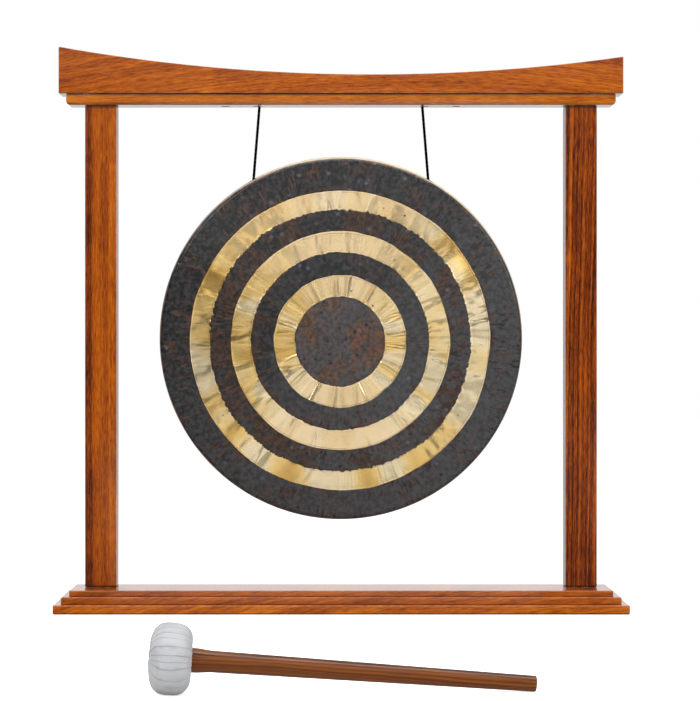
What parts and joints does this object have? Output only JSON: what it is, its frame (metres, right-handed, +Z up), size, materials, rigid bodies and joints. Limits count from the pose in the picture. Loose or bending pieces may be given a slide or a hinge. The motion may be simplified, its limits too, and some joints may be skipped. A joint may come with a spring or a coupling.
{
  "type": "tabletop gong on a stand",
  "caption": "Dished bronze gong with a turned-back rim, hung by a cord in a wooden table stand with stepped base and hollow-curved beam; padded mallet lying in front.",
  "frame": {"origin": "middle of the base's underside, on the table", "axes": "+X along the beam to the right as seen by the player, -Y towards the player (the gong's face looks that way), +Z up"},
  "size_m": [0.5544, 0.7325, 0.5505],
  "materials": {
    "rosewood": "reddish-brown hardwood with dark streaks under a clear satin-gloss lacquer",
    "bronze": "hammered bronze sheet with a black-brown oxide skin, scraped bright in three rings on the face",
    "cord": "black braided cord",
    "steel": "bright zinc plate",
    "beech": "bare turned hardwood",
    "handle_wood": "dark reddish-brown hardwood under gloss lacquer",
    "cloth": "white cotton cloth drawn tight in soft pleats",
    "felt": "grey wool felt"
  },
  "bodies": {
    "stand": {"base_board_bottom": "rosewood", "base_board_middle": "rosewood", "base_board_top": "rosewood", "base_screw_left_front": "steel", "base_screw_left_back": "steel", "base_screw_right_front": "steel", "base_screw_right_back": "steel", "post_left": "rosewood", "post_right": "rosewood", "rail": "rosewood", "beam": "rosewood", "top_dowel_left_front": "beech", "top_dowel_left_back": "beech", "top_dowel_right_front": "beech", "top_dowel_right_back": "beech", "hanger_cord_bridge": "cord"},
    "hangers": {"hanger_cord_left": "cord", "hanger_cord_right": "cord", "rim_knot_left": "cord", "rim_knot_right": "cord"},
    "gong": {"gong_disc": "bronze"},
    "mallet": {"mallet_handle": "handle_wood", "mallet_core": "beech", "mallet_felt": "felt", "mallet_cover": "cloth"}
  },
  "joints": [
    {"name": "gong_swing", "type": "hinge", "parent": "stand", "child": "hangers", "pos_m": [0, 0.0155, 0.4939], "axis": [1, 0, 0], "range_deg": [-15, 15]},
    {"name": "gong_tilt", "type": "hinge", "parent": "hangers", "child": "gong", "pos_m": [0, 0.0155, 0.41925], "axis": [1, 0, 0], "range_deg": [-15, 15]},
    {"name": "mallet_lift", "type": "slide", "parent": "stand", "child": "mallet", "axis": [0, 0, 1], "range_m": [0, 0.2]}
  ]
}
